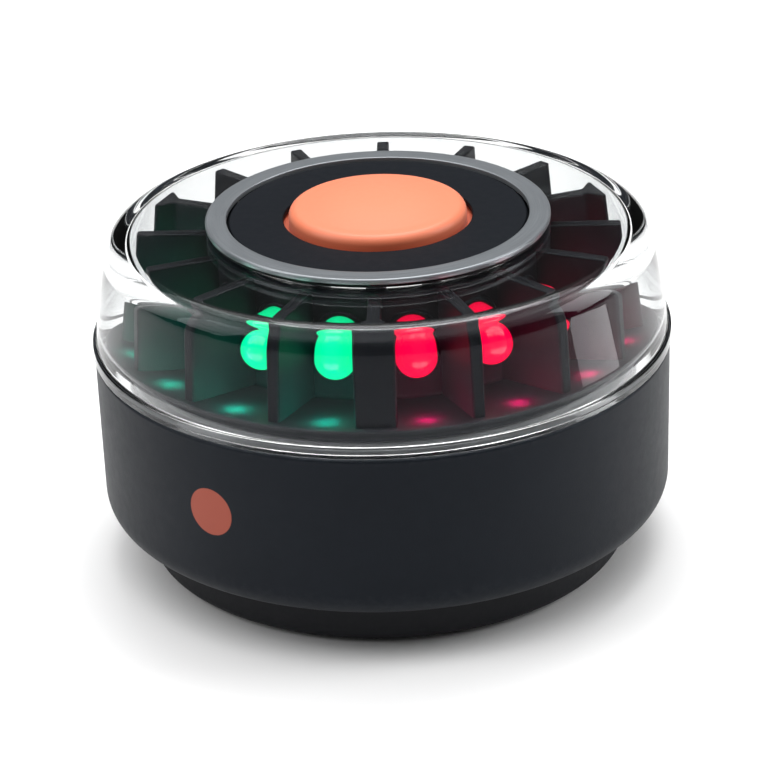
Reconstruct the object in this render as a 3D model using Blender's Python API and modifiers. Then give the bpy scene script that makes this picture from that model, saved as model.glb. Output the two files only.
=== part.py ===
# Battery navigation light: a round tricolour lamp with a push button on top, a clear lens over
# sixteen lamps between black screen fins, a turned battery cap and a magnetic foot.
# Units are metres, +Z is up, the bow is -Y and starboard (green) is -X.
import math

import bmesh
import bpy
from mathutils import Matrix, Vector

MM = 0.001
SECTORS = 16
SECTOR = 2 * math.pi / SECTORS
LARGE_STEPS = 40
MID_STEPS = 24
SMALL_STEPS = 14
FINE_STEPS = 10
BUTTON_STEPS = 32
LED_HOLE_STEPS = 12
GAP = 0.3 * MM

# Foot and battery cap
FOOT_R = 31.6 * MM
FOOT_TOP = 6.1 * MM
FOOT_PAD_R = 28.1 * MM
FOOT_PAD_THICK = 0.9 * MM
MAGNETS = 6
MAGNET_R = 5.0 * MM
MAGNET_THICK = 3.0 * MM
MAGNET_CIRCLE_R = 19.0 * MM
CAP_BOTTOM = 6.4 * MM
CAP_FLANGE_R = 30.0 * MM
CAP_FLANGE_TOP = 9.0 * MM
CAP_SPIGOT_R = 28.6 * MM
CAP_TOP = 12.4 * MM
PLATE_OUTER_R = 25.0 * MM
PLATE_INNER_R = 12.2 * MM
PLATE_THICK = 0.7 * MM
COIN_SLOT = (20 * MM, 2.6 * MM, 1.4 * MM)

# Body shell
BODY_R = 37.3 * MM
BODY_LOW_R = 37.1 * MM
BODY_BOTTOM = 6.7 * MM
BODY_TOP = 28.7 * MM
BODY_ROUND_TOP = 13.0 * MM
BODY_FOOTPRINT_R = 31.9 * MM
CAP_MOUTH_R = 30.4 * MM
NECK_R = 29.0 * MM
CAVITY_R = 31.8 * MM

# Lens
LENS_R = 37.5 * MM
LENS_BOTTOM = 29.0 * MM
LENS_TOP = 44.5 * MM
LENS_WALL = 1.6 * MM
LENS_HOLE_R = 20.8 * MM
LENS_SHOULDER_R = 3.6 * MM
LENS_WALL_TOP_R = 35.5 * MM
LENS_WALL_LOW_R = 37.05 * MM
LENS_LIP = 1.5 * MM
PRISM_BOTTOM = 32.0 * MM
PRISM_TOP_R = 32.1 * MM

# Light crown
FLOOR_R = 34.1 * MM
FLOOR_TOP = 31.1 * MM
FLOOR_THICK = 1.4 * MM
SKIRT_R = 32.2 * MM
DRUM_R = 22.0 * MM
DRUM_INNER_R = 20.3 * MM
BOSS_R = 20.4 * MM
BOSS_TOP = 44.3 * MM
FIN_TOP = 42.6 * MM
FIN_OUTER_R = 31.0 * MM
FIN_LOW_R = 32.4 * MM
FIN_THICK = 1.6 * MM
FLARE_START_R = 29.0 * MM
FLARE_WIDTH = 6.0 * MM
FLARED_FINS = (0, 5, 11)
BOARD_R = 17.0 * MM
BOARD_BOTTOM = 33.6 * MM
BOARD_THICK = 1.6 * MM
LED_Z = 37.3 * MM
LED_R = 2.5 * MM
LED_TIP_R = 27.3 * MM
LED_FLANGE_R = 2.9 * MM

# Top: ring, disc and button
RING_TOP = 45.8 * MM
RING_BOTTOM = 45.1 * MM
RING_OUTER_R = 22.1 * MM
RING_INNER_R = 19.4 * MM
DISC_TOP = 45.4 * MM
DISC_BOTTOM = 44.6 * MM
DISC_R = 19.1 * MM
BUTTON_R = 11.7 * MM
BUTTON_TOP = 47.6 * MM
BUTTON_FLANGE_R = 13.0 * MM
BUTTON_STEM_R = 3.0 * MM
SWITCH_SIDE = 6.2 * MM
SWITCH_TOP = 39.6 * MM
PLUNGER_R = 1.7 * MM
PLUNGER_TOP = 40.6 * MM

# Batteries (AAA) and their tray
CELL_R = 5.25 * MM
CELL_LENGTH = 44.5 * MM
CELL_PITCH = 11.1 * MM
CELL_Z = 18.6 * MM
CONTACT_X = 23.8 * MM
CONTACT_THICK = 0.4 * MM
TRAY_R = 32.7 * MM
TRAY_BOTTOM = 24.4 * MM
TRAY_TOP = 25.6 * MM
SCREW_CIRCLE_R = 28.0 * MM
SCREW_ANGLES = (55, 125, 235, 305)

COLORS = {
    "orange_rubber": ((0.86, 0.22, 0.08, 1), 0.45, 0.0),
    "black_rubber": ((0.015, 0.016, 0.019, 1), 0.7, 0.0),
    "black_shell": ((0.020, 0.021, 0.025, 1), 0.55, 0.0),
    "black_crown": ((0.014, 0.014, 0.016, 1), 0.5, 0.0),
    "satin_ring": ((0.42, 0.44, 0.46, 1), 0.35, 1.0),
    "clear_lens": ((0.92, 0.95, 0.96, 0.3), 0.05, 0.0),
    "grey_seal": ((0.55, 0.57, 0.58, 1), 0.6, 0.0),
    "green_led": ((0.0, 0.9, 0.35, 1), 0.15, 0.0),
    "red_led": ((0.95, 0.02, 0.08, 1), 0.15, 0.0),
    "white_led": ((0.88, 0.90, 0.92, 1), 0.15, 0.0),
    "board_green": ((0.02, 0.16, 0.07, 1), 0.45, 0.0),
    "grey_plastic": ((0.10, 0.105, 0.115, 1), 0.55, 0.0),
    "cell_sleeve": ((0.24, 0.30, 0.42, 1), 0.35, 0.6),
    "nickel": ((0.62, 0.60, 0.56, 1), 0.25, 1.0),
    "steel": ((0.50, 0.51, 0.53, 1), 0.35, 1.0),
    "red_wire": ((0.55, 0.02, 0.02, 1), 0.5, 0.0),
    "black_wire": ((0.02, 0.02, 0.02, 1), 0.5, 0.0),
}


def clear_scene():
    for obj in list(bpy.data.objects):
        bpy.data.objects.remove(obj)


def collection(name, hidden=False):
    made = bpy.data.collections.new(name)
    bpy.context.scene.collection.children.link(made)
    made.hide_render = hidden
    return made


def material(name):
    if name in bpy.data.materials:
        return bpy.data.materials[name]
    color, roughness, metallic = COLORS[name]
    made = bpy.data.materials.new(name)
    made.use_nodes = True
    shader = made.node_tree.nodes["Principled BSDF"]
    shader.inputs["Base Color"].default_value = color
    shader.inputs["Roughness"].default_value = roughness
    shader.inputs["Metallic"].default_value = metallic
    shader.inputs["Alpha"].default_value = color[3]
    made.diffuse_color = color
    return made


def place(name, data, look, smooth=True):
    """Links new data to the light's collection as one named piece."""
    obj = bpy.data.objects.new(name, data)
    parts.objects.link(obj)
    data.materials.append(material(look))
    if smooth and obj.type == "MESH":
        data.polygons.foreach_set("use_smooth", [True] * len(data.polygons))
    return obj


def as_cutter(obj):
    """Moves a helper out of the light, where Booleans still see it."""
    parts.objects.unlink(obj)
    cutters.objects.link(obj)
    obj.hide_render = True
    obj.display_type = "WIRE"
    return obj


def turned(name, profile, look, steps=LARGE_STEPS):
    """A lathe shape. The profile runs down its outer side.
    One that ends off the axis is closed into a ring.
    """
    ring = min(profile[0][0], profile[-1][0]) > 0
    mesh = bpy.data.meshes.new(name)
    count = len(profile)
    edges = [(i, i + 1) for i in range(count - 1)]
    if ring:
        edges.append((count - 1, 0))
    mesh.from_pydata([(r, 0, z) for r, z in profile], edges, [])
    obj = place(name, mesh, look)
    screw = obj.modifiers.new("Screw", "SCREW")
    screw.axis = "Z"
    screw.steps = steps
    screw.render_steps = steps
    screw.use_merge_vertices = True
    screw.merge_threshold = 0.01 * MM
    screw.use_smooth_shade = True
    return obj


def washer(name, inner, outer, bottom, top, look, steps=LARGE_STEPS):
    return turned(name, [(outer, top), (outer, bottom), (inner, bottom), (inner, top)], look, steps)


def arc(centre, radii, start, end, count):
    """Points on an ellipse in the profile plane, angles in degrees from +X."""
    points = []
    for i in range(count):
        angle = math.radians(start + (end - start) * i / (count - 1))
        points.append((centre[0] + radii[0] * math.cos(angle), centre[1] + radii[1] * math.sin(angle)))
    return points


def cylinders(name, radius, depth, matrices, look, segments=SMALL_STEPS):
    """One or more equal cylinders along their own Z, placed by matrices."""
    mesh = bpy.data.meshes.new(name)
    shape = bmesh.new()
    for matrix in matrices:
        bmesh.ops.create_cone(shape, cap_ends=True, segments=segments, radius1=radius, radius2=radius,
                              depth=depth, matrix=matrix)
    shape.to_mesh(mesh)
    shape.free()
    return place(name, mesh, look)


def box(name, size, centre, look):
    mesh = bpy.data.meshes.new(name)
    shape = bmesh.new()
    matrix = Matrix.Translation(centre) @ Matrix.Diagonal((*size, 1))
    bmesh.ops.create_cube(shape, size=1, matrix=matrix)
    shape.to_mesh(mesh)
    shape.free()
    return place(name, mesh, look, smooth=False)


def extruded(name, outlines, bottom, top, look):
    """Flat outlines stood up between two heights, as one mesh."""
    curve = bpy.data.curves.new(name, "CURVE")
    curve.dimensions = "2D"
    curve.fill_mode = "BOTH"
    curve.extrude = (top - bottom) / 2
    for outline in outlines:
        spline = curve.splines.new("POLY")
        spline.points.add(len(outline) - 1)
        for point, (x, y) in zip(spline.points, outline):
            point.co = (x, y, 0, 1)
        spline.use_cyclic_u = True
    guide = bpy.data.objects.new(name + "_outline", curve)
    cutters.objects.link(guide)
    guide.hide_render = True
    bpy.context.view_layer.update()
    mesh = bpy.data.meshes.new_from_object(guide.evaluated_get(bpy.context.evaluated_depsgraph_get()))
    bpy.data.objects.remove(guide)
    shape = bmesh.new()
    shape.from_mesh(mesh)
    bmesh.ops.translate(shape, verts=shape.verts, vec=(0, 0, (top + bottom) / 2))
    bmesh.ops.remove_doubles(shape, verts=shape.verts, dist=0.001 * MM)
    bmesh.ops.recalc_face_normals(shape, faces=shape.faces)
    bmesh.ops.triangulate(shape, faces=shape.faces)
    shape.to_mesh(mesh)
    shape.free()
    mesh.name = name
    mesh.materials.clear()
    return place(name, mesh, look, smooth=False)


def boolean(target, other, operation):
    modifier = target.modifiers.new(operation.title(), "BOOLEAN")
    modifier.operation = operation
    modifier.solver = "EXACT"
    modifier.object = as_cutter(other)


def wire(name, points, radius, look, sides=2):
    curve = bpy.data.curves.new(name, "CURVE")
    curve.dimensions = "3D"
    curve.bevel_depth = radius
    curve.bevel_resolution = sides
    curve.use_fill_caps = True
    spline = curve.splines.new("POLY")
    spline.points.add(len(points) - 1)
    for point, place_at in zip(spline.points, points):
        point.co = (*place_at, 1)
    return place(name, curve, look)


def around(radius, angle, z):
    """A place at an angle from the bow, turning towards port (+X)."""
    return Vector((radius * math.sin(angle), -radius * math.cos(angle), z))


def under(obj, joint):
    obj.parent = joint
    obj.matrix_parent_inverse = joint.matrix_world.inverted()


def joint_axis(name, z):
    empty = bpy.data.objects.new(name, None)
    parts.objects.link(empty)
    empty.location = (0, 0, z)
    empty.empty_display_size = 5 * MM
    bpy.context.view_layer.update()
    return empty


def make_foot():
    joint = joint_axis("foot_joint", FOOT_TOP)
    recess_r = FOOT_PAD_R + GAP
    recess_top = FOOT_PAD_THICK + GAP
    base = 0.6 * MM
    edge = arc((FOOT_R - 2.2 * MM, base + 2.2 * MM), (2.2 * MM, 2.2 * MM), 0, -90, 5)
    profile = [(0, FOOT_TOP), (FOOT_R - 0.4 * MM, FOOT_TOP), (FOOT_R, FOOT_TOP - 0.4 * MM), *edge]
    profile += [(recess_r, base), (recess_r, recess_top), (0, recess_top)]
    shell = turned("foot_shell", profile, "black_rubber")
    step = 2 * math.pi / MAGNETS
    spots = [Matrix.Translation(around(MAGNET_CIRCLE_R, (i + 0.5) * step, 0)) for i in range(MAGNETS)]
    pocket_bottom = FOOT_TOP - MAGNET_THICK - 0.5 * MM
    lift = Matrix.Translation((0, 0, pocket_bottom + 3 * MM))
    lifted = [lift @ spot for spot in spots]
    pockets = cylinders("magnet_pockets", MAGNET_R + GAP, 6 * MM, lifted, "black_rubber")
    boolean(shell, pockets, "DIFFERENCE")
    under(shell, joint)
    under(turned("foot_pad", [(0, FOOT_PAD_THICK), (FOOT_PAD_R, FOOT_PAD_THICK), (FOOT_PAD_R, 0), (0, 0)],
                 "black_rubber", MID_STEPS), joint)
    for i, spot in enumerate(spots):
        rise = Matrix.Translation((0, 0, pocket_bottom + 0.3 * MM + MAGNET_THICK / 2))
        under(cylinders(f"foot_magnet_{i + 1}", MAGNET_R, MAGNET_THICK, [rise @ spot], "nickel"), joint)


def make_battery_cap():
    joint = joint_axis("cap_joint", CAP_BOTTOM)
    floor = CAP_FLANGE_TOP - 0.4 * MM
    recess_top = CAP_BOTTOM + PLATE_THICK + 0.2 * MM
    well_r = CAP_SPIGOT_R - 2 * MM
    profile = [(0, floor), (well_r, floor), (well_r, CAP_TOP), (CAP_SPIGOT_R, CAP_TOP)]
    profile += [(CAP_SPIGOT_R, CAP_FLANGE_TOP), (CAP_FLANGE_R, CAP_FLANGE_TOP), (CAP_FLANGE_R, CAP_BOTTOM)]
    profile += [(PLATE_OUTER_R + GAP, CAP_BOTTOM), (PLATE_OUTER_R + GAP, recess_top)]
    profile += [(PLATE_INNER_R - GAP, recess_top), (PLATE_INNER_R - GAP, CAP_BOTTOM), (0, CAP_BOTTOM)]
    cap = turned("battery_cap", profile, "black_shell")
    length, width, depth = COIN_SLOT
    slot = box("coin_slot", (length, width, 2 * depth), (0, 0, CAP_BOTTOM), "black_shell")
    boolean(cap, slot, "DIFFERENCE")
    under(cap, joint)
    under(washer("cap_steel_plate", PLATE_INNER_R, PLATE_OUTER_R, CAP_BOTTOM, CAP_BOTTOM + PLATE_THICK,
                 "steel", MID_STEPS), joint)
    under(washer("cap_seal", NECK_R - 0.1 * MM, CAP_FLANGE_R, CAP_FLANGE_TOP + GAP, CAP_FLANGE_TOP + 1.3 * MM,
                 "black_rubber", MID_STEPS), joint)


def make_body():
    rounding = arc((BODY_FOOTPRINT_R, BODY_ROUND_TOP),
                   (BODY_LOW_R - BODY_FOOTPRINT_R, BODY_ROUND_TOP - BODY_BOTTOM), 0, -90, 7)
    ledge = TRAY_BOTTOM - GAP
    profile = [(BODY_R - 0.3 * MM, BODY_TOP), (BODY_R, BODY_TOP - 0.3 * MM), *rounding]
    profile += [(CAP_MOUTH_R, BODY_BOTTOM), (CAP_MOUTH_R, CAP_FLANGE_TOP + 1.6 * MM)]
    profile += [(NECK_R, CAP_FLANGE_TOP + 1.6 * MM), (NECK_R, CAP_TOP + 0.6 * MM)]
    profile += [(CAVITY_R, CAP_TOP + 2 * MM)]
    profile += [(CAVITY_R, ledge), (TRAY_R + GAP, ledge), (TRAY_R + GAP, BODY_TOP - 0.8 * MM)]
    profile += [(BODY_R - 2.1 * MM, BODY_TOP - 0.8 * MM), (BODY_R - 2.1 * MM, BODY_TOP)]
    turned("body_shell", profile, "black_shell")
    washer("lens_seal", TRAY_R + 0.6 * MM, BODY_R - 2.4 * MM,
           BODY_TOP - 0.5 * MM, BODY_TOP + 0.7 * MM, "grey_seal")


def make_lens():
    shoulder_z = LENS_TOP - LENS_SHOULDER_R
    outer = arc((LENS_WALL_TOP_R - LENS_SHOULDER_R, shoulder_z), (LENS_SHOULDER_R, LENS_SHOULDER_R), 90, 8, 7)
    # Inside, the wall thickens towards the shoulder like a prism, and a small chamfer ends it.
    under = LENS_TOP - LENS_WALL
    inner_low_r = LENS_WALL_LOW_R - LENS_WALL
    inner = [(inner_low_r, PRISM_BOTTOM), (PRISM_TOP_R + 0.15 * MM, under - 0.5 * MM)]
    inner += [(PRISM_TOP_R - 0.3 * MM, under)]
    lip_top = LENS_BOTTOM + LENS_LIP
    profile = [(LENS_HOLE_R, LENS_TOP), *outer, (LENS_WALL_LOW_R, lip_top)]
    profile += [(LENS_R, lip_top), (LENS_R, LENS_BOTTOM)]
    profile += [(inner_low_r, LENS_BOTTOM), *inner, (LENS_HOLE_R, under)]
    turned("lens", profile, "clear_lens")


def fin_outline(index):
    """A radial plate. A fin between two colour sectors spreads into an arrowhead at its outer end."""
    half = FIN_THICK / 2
    root = DRUM_R - 0.8 * MM
    tip = FIN_OUTER_R
    if index in FLARED_FINS:
        wide = FLARE_WIDTH / 2
        points = [(root, -half), (FLARE_START_R, -half), (tip, -wide)]
        points += [(tip, wide), (FLARE_START_R, half), (root, half)]
    else:
        points = [(root, -half), (tip, -half), (tip, half), (root, half)]
    angle = index * SECTOR
    along = around(1, angle, 0)
    across = Vector((-along.y, along.x, 0))
    placed = [along * r + across * side for r, side in points]
    return [(p.x, p.y) for p in placed]


def led_matrix(index, radius):
    """The frame of one lamp: its own Z points outwards from the drum."""
    angle = (index + 0.5) * SECTOR
    along = around(1, angle, 0)
    turn = along.to_track_quat("Z", "Y").to_matrix().to_4x4()
    return Matrix.Translation(around(radius, angle, LED_Z)) @ turn


def make_crown():
    plate_bottom = LED_Z + LED_FLANGE_R + GAP
    plate_top = plate_bottom + 1.2 * MM
    ledge_top = BOARD_BOTTOM - GAP
    recess_r = BUTTON_FLANGE_R + 0.4 * MM
    stem_hole_r = BUTTON_STEM_R + 0.5 * MM
    floor_bottom = FLOOR_TOP - FLOOR_THICK
    skirt_bottom = TRAY_TOP + GAP
    profile = [(BOSS_R, BOSS_TOP), (BOSS_R, FIN_TOP), (DRUM_R, FIN_TOP), (DRUM_R, FLOOR_TOP)]
    profile += [(FLOOR_R, FLOOR_TOP)]
    profile += [(FLOOR_R, floor_bottom), (SKIRT_R, floor_bottom), (SKIRT_R, skirt_bottom)]
    profile += [(SKIRT_R - 1.4 * MM, skirt_bottom), (SKIRT_R - 1.4 * MM, floor_bottom)]
    profile += [(DRUM_INNER_R, floor_bottom), (DRUM_INNER_R, ledge_top - 1.5 * MM)]
    profile += [(BOARD_R - 0.8 * MM, ledge_top - 1.5 * MM), (BOARD_R - 0.8 * MM, ledge_top)]
    profile += [(DRUM_INNER_R, ledge_top), (DRUM_INNER_R, plate_bottom), (stem_hole_r, plate_bottom)]
    profile += [(stem_hole_r, plate_top), (recess_r, plate_top), (recess_r, BOSS_TOP)]
    crown = turned("light_crown", profile, "black_crown")
    outlines = [fin_outline(i) for i in range(SECTORS)]
    fins = extruded("screen_fins", outlines, FLOOR_TOP - 0.5 * MM, FIN_TOP - 0.05 * MM, "black_crown")
    # The outer edge of each fin leans out towards the floor.
    for vertex in fins.data.vertices:
        if vertex.co.z < FLOOR_TOP and vertex.co.xy.length > FLARE_START_R + GAP:
            vertex.co.x *= FIN_LOW_R / FIN_OUTER_R
            vertex.co.y *= FIN_LOW_R / FIN_OUTER_R
    boolean(crown, fins, "UNION")
    turns = [math.radians(a) for a in SCREW_ANGLES]
    middle = (skirt_bottom + floor_bottom + 0.5 * MM) / 2
    spots = [(SCREW_CIRCLE_R * math.cos(t), SCREW_CIRCLE_R * math.sin(t), middle) for t in turns]
    posts = [Matrix.Translation(spot) for spot in spots]
    post_depth = floor_bottom + 0.5 * MM - skirt_bottom
    boolean(crown, cylinders("screw_posts", 2.4 * MM, post_depth, posts, "black_crown"), "UNION")
    pilots = cylinders("screw_pilots", 1.25 * MM, 2 * (post_depth - 0.6 * MM),
                       [Matrix.Translation((m.translation.x, m.translation.y, skirt_bottom)) for m in posts],
                       "black_crown", FINE_STEPS)
    boolean(crown, pilots, "DIFFERENCE")
    holes = [led_matrix(i, (DRUM_R + DRUM_INNER_R) / 2) for i in range(SECTORS)]
    bores = cylinders("led_holes", LED_R + 0.15 * MM, 4 * MM, holes, "black_crown", LED_HOLE_STEPS)
    boolean(crown, bores, "DIFFERENCE")


def led_look(index):
    """Green from the bow to 112.5 degrees on starboard, red on port, white astern."""
    if index < 5:
        return "red", index + 1
    if index >= SECTORS - 5:
        return "green", SECTORS - index
    return "white", index - 4


def make_leds():
    dome = LED_TIP_R - LED_R
    back = DRUM_INNER_R - 1.9 * MM
    front = DRUM_INNER_R - GAP
    length = front - back
    reach = dome - back
    for i in range(SECTORS):
        color, number = led_look(i)
        profile = [*arc((0, reach), (LED_R, LED_R), 90, 0, 4), (LED_R, length)]
        profile += [(LED_FLANGE_R, length), (LED_FLANGE_R, 0), (0, 0)]
        profile[0] = (0, profile[0][1])
        lamp = turned(f"led_{color}_{number}", profile, f"{color}_led", FINE_STEPS)
        lamp.matrix_world = led_matrix(i, back)


def make_top():
    washer("ring_gasket", RING_INNER_R + 0.4 * MM, RING_OUTER_R - 0.2 * MM, LENS_TOP + 0.1 * MM,
           RING_BOTTOM - 0.1 * MM, "black_rubber")
    edge = 0.25 * MM
    profile = [(RING_INNER_R + edge, RING_TOP), (RING_OUTER_R - edge, RING_TOP)]
    profile += [(RING_OUTER_R, RING_TOP - edge)]
    profile += [(RING_OUTER_R, RING_BOTTOM), (RING_INNER_R, RING_BOTTOM), (RING_INNER_R, RING_TOP - edge)]
    turned("trim_ring", profile, "satin_ring")
    washer("top_disc", BUTTON_R + 0.4 * MM, DISC_R, DISC_BOTTOM, DISC_TOP, "black_rubber")


def make_button():
    joint = joint_axis("button_joint", BUTTON_TOP)
    flange_top = DISC_BOTTOM - GAP
    flange_bottom = flange_top - 0.9 * MM
    stem_bottom = PLUNGER_TOP + GAP
    edge = 1.2 * MM
    shoulder = BUTTON_TOP - 0.5 * MM
    profile = [(0, BUTTON_TOP), (BUTTON_R * 0.5, BUTTON_TOP - 0.12 * MM)]
    profile += arc((BUTTON_R - edge, shoulder - edge), (edge, edge), 90, 0, 5)
    profile += [(BUTTON_R, flange_top), (BUTTON_FLANGE_R, flange_top), (BUTTON_FLANGE_R, flange_bottom)]
    profile += [(BUTTON_STEM_R, flange_bottom), (BUTTON_STEM_R, stem_bottom), (0, stem_bottom)]
    under(turned("button", profile, "orange_rubber", BUTTON_STEPS), joint)


def make_switch():
    board_top = BOARD_BOTTOM + BOARD_THICK
    outline = [(0, board_top), (BOARD_R, board_top), (BOARD_R, BOARD_BOTTOM), (0, BOARD_BOTTOM)]
    board = turned("led_board", outline,
                   "board_green", MID_STEPS)
    holes = [Matrix.Translation(around(8 * MM, i * math.pi, board_top)) for i in range(2)]
    boolean(board, cylinders("board_holes", 1.2 * MM, 4 * MM, holes, "board_green", FINE_STEPS), "DIFFERENCE")
    bottom = board_top + GAP
    size = (SWITCH_SIDE, SWITCH_SIDE, SWITCH_TOP - bottom)
    body = box("switch_body", size, (0, 0, (SWITCH_TOP + bottom) / 2), "grey_plastic")
    well = cylinders("switch_well", PLUNGER_R + 0.25 * MM, 6 * MM,
                     [Matrix.Translation((0, 0, SWITCH_TOP + 0.2 * MM))], "grey_plastic")
    boolean(body, well, "DIFFERENCE")
    joint = joint_axis("plunger_joint", PLUNGER_TOP)
    depth = 2.9 * MM
    plunger = cylinders("switch_plunger", PLUNGER_R, depth,
                        [Matrix.Translation((0, 0, PLUNGER_TOP - depth / 2))], "grey_plastic")
    under(plunger, joint)


def make_tray():
    top = TRAY_TOP
    tray = turned("battery_tray", [(0, top), (TRAY_R, top), (TRAY_R, TRAY_BOTTOM), (0, TRAY_BOTTOM)],
                  "grey_plastic", MID_STEPS)
    wall_low = CELL_Z - CELL_R + 1.4 * MM
    wall_x = CONTACT_X + CONTACT_THICK + 0.8 * MM
    height = TRAY_BOTTOM + 0.6 * MM - wall_low
    for side in (-1, 1):
        size = (1.2 * MM, 33 * MM, height)
        wall = box("tray_wall", size, (side * wall_x, 0, wall_low + height / 2), "grey_plastic")
        boolean(tray, wall, "UNION")
        rib_height = 5 * MM
        rib = box("tray_rib", (36 * MM, 0.5 * MM, rib_height),
                  (0, side * CELL_PITCH / 2, TRAY_BOTTOM + 0.6 * MM - rib_height / 2), "grey_plastic")
        boolean(tray, rib, "UNION")
    spots = [(SCREW_CIRCLE_R * math.cos(math.radians(a)), SCREW_CIRCLE_R * math.sin(math.radians(a)))
             for a in SCREW_ANGLES]
    holes = [Matrix.Translation((x, y, top)) for x, y in spots]
    boolean(tray, cylinders("tray_holes", 1.4 * MM, 6 * MM, holes, "grey_plastic", FINE_STEPS), "DIFFERENCE")
    outlets = [Matrix.Translation((side * CONTACT_X, side * CELL_PITCH, top)) for side in (-1, 1)]
    holes = cylinders("wire_outlets", 0.8 * MM, 6 * MM, outlets, "grey_plastic", FINE_STEPS)
    boolean(tray, holes, "DIFFERENCE")
    for i, (x, y) in enumerate(spots):
        head = TRAY_BOTTOM - GAP
        profile = [(0, head + 4 * MM), (1.0 * MM, head + 4 * MM), (1.0 * MM, head), (2.3 * MM, head)]
        profile += [(1.9 * MM, head - 1.4 * MM), (0, head - 1.5 * MM)]
        screw = turned(f"crown_screw_{i + 1}", profile, "steel", FINE_STEPS)
        screw.location = (x, y, 0)


def make_batteries():
    """Three cells side by side in series, each with a spring at its flat end."""
    nub_r = 1.9 * MM
    nub = 1.0 * MM
    clearance = 0.15 * MM
    for i in range(3):
        way = 1 if i % 2 == 0 else -1
        y = (i - 1) * CELL_PITCH
        body = CELL_LENGTH - nub
        profile = [(0, CELL_LENGTH), (nub_r, CELL_LENGTH), (nub_r, body), (CELL_R - 0.3 * MM, body)]
        profile += [(CELL_R, body - 0.3 * MM), (CELL_R, 0.3 * MM), (CELL_R - 0.3 * MM, 0), (0, 0)]
        cell = turned(f"battery_cell_{i + 1}", profile, "cell_sleeve", SMALL_STEPS)
        flat_x = way * (CONTACT_X - clearance - CELL_LENGTH)
        turn = Matrix.Rotation(way * math.pi / 2, 4, "Y")
        cell.matrix_world = Matrix.Translation((flat_x, y, CELL_Z)) @ turn
        make_spring(f"battery_spring_{i + 1}", way, y, flat_x)
    height = 9 * MM
    thick = CONTACT_THICK
    singles = [("contact_positive", 1, -1, -1), ("contact_negative", -1, 1, 1)]
    bridges = [("contact_bridge_1", -1, -1, 0), ("contact_bridge_2", 1, 0, 1)]
    for name, side, first, last in singles + bridges:
        width = (last - first) * CELL_PITCH + 8 * MM
        y = (first + last) * CELL_PITCH / 2
        box(name, (thick, width, height), (side * (CONTACT_X + thick / 2), y, CELL_Z + 0.6 * MM), "nickel")


def make_spring(name, way, y, flat_x):
    """A conical coil between a cell's flat end and the contact behind it."""
    turns = 3
    per_turn = 8
    radius = 0.3 * MM
    start = -way * (CONTACT_X - radius - 0.1 * MM)
    end = flat_x - way * (radius + 0.1 * MM)
    points = []
    for i in range(turns * per_turn + 1):
        share = i / (turns * per_turn)
        angle = 2 * math.pi * turns * share
        coil = (3.6 - 1.4 * share) * MM
        x = start + (end - start) * share
        points.append((x, y + coil * math.cos(angle), CELL_Z + coil * math.sin(angle)))
    wire(name, points, radius, "nickel", 1)


def make_wires():
    """Leads from the two end contacts up to the board."""
    for side, name, look in ((-1, "wire_negative", "black_wire"), (1, "wire_positive", "red_wire")):
        y = side * CELL_PITCH
        foot = Vector((side * CONTACT_X, y, TRAY_BOTTOM - 0.1 * MM))
        start = Vector((side * CONTACT_X, y, TRAY_TOP + 0.5 * MM))
        bend = Vector((side * CONTACT_X, y, 29.5 * MM))
        inner = Vector((side * 6 * MM, y * 0.4, 26.5 * MM))
        end = Vector((side * 9 * MM, y * 0.3, BOARD_BOTTOM - 0.4 * MM))
        points = [foot]
        count = 16
        for i in range(count + 1):
            t = i / count
            near = (1 - t) ** 3 * start + 3 * t * (1 - t) ** 2 * bend
            far = 3 * t * t * (1 - t) * inner + t ** 3 * end
            points.append(near + far)
        wire(name, points, 0.45 * MM, look)


clear_scene()
parts = collection("navigation_light")
cutters = collection("cutters", hidden=True)
make_foot()
make_battery_cap()
make_body()
make_lens()
make_crown()
make_leds()
make_top()
make_button()
make_switch()
make_tray()
make_batteries()
make_wires()
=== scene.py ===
import math

import bpy
import numpy as np
from mathutils import Matrix, Vector


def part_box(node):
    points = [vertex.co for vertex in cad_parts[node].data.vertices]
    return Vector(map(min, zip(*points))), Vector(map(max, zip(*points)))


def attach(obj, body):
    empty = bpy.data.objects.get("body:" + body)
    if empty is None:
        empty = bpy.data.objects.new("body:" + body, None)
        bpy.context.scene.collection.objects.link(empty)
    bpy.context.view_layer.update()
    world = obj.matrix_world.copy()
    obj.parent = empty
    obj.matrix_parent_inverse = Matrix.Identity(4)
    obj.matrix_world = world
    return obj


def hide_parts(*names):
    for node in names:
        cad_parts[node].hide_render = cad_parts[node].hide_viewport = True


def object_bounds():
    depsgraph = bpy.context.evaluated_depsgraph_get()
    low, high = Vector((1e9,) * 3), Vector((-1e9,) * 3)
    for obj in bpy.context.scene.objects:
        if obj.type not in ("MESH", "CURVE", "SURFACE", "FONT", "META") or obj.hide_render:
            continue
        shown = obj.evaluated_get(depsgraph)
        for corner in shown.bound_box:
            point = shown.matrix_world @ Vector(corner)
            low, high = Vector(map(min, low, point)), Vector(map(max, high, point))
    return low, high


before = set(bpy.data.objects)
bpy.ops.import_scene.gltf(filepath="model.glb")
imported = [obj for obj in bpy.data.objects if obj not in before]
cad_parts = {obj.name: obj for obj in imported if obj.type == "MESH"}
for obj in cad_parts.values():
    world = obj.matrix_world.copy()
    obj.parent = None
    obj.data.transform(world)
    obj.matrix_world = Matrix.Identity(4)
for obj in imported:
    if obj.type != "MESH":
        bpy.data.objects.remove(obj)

cadLow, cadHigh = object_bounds()
mm = 0.001
around = 256  # faces round a large turned piece
fine = 320  # and round one whose outline shows
plain = 192  # and round one that is mostly hidden
bowAngle = -math.pi / 2  # the bow is -Y
sectorCount = 16
sectorStep = 2 * math.pi / sectorCount
boardTop = 35.2  # mm
print("frame loaded:", len(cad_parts), "nodes")


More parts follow.
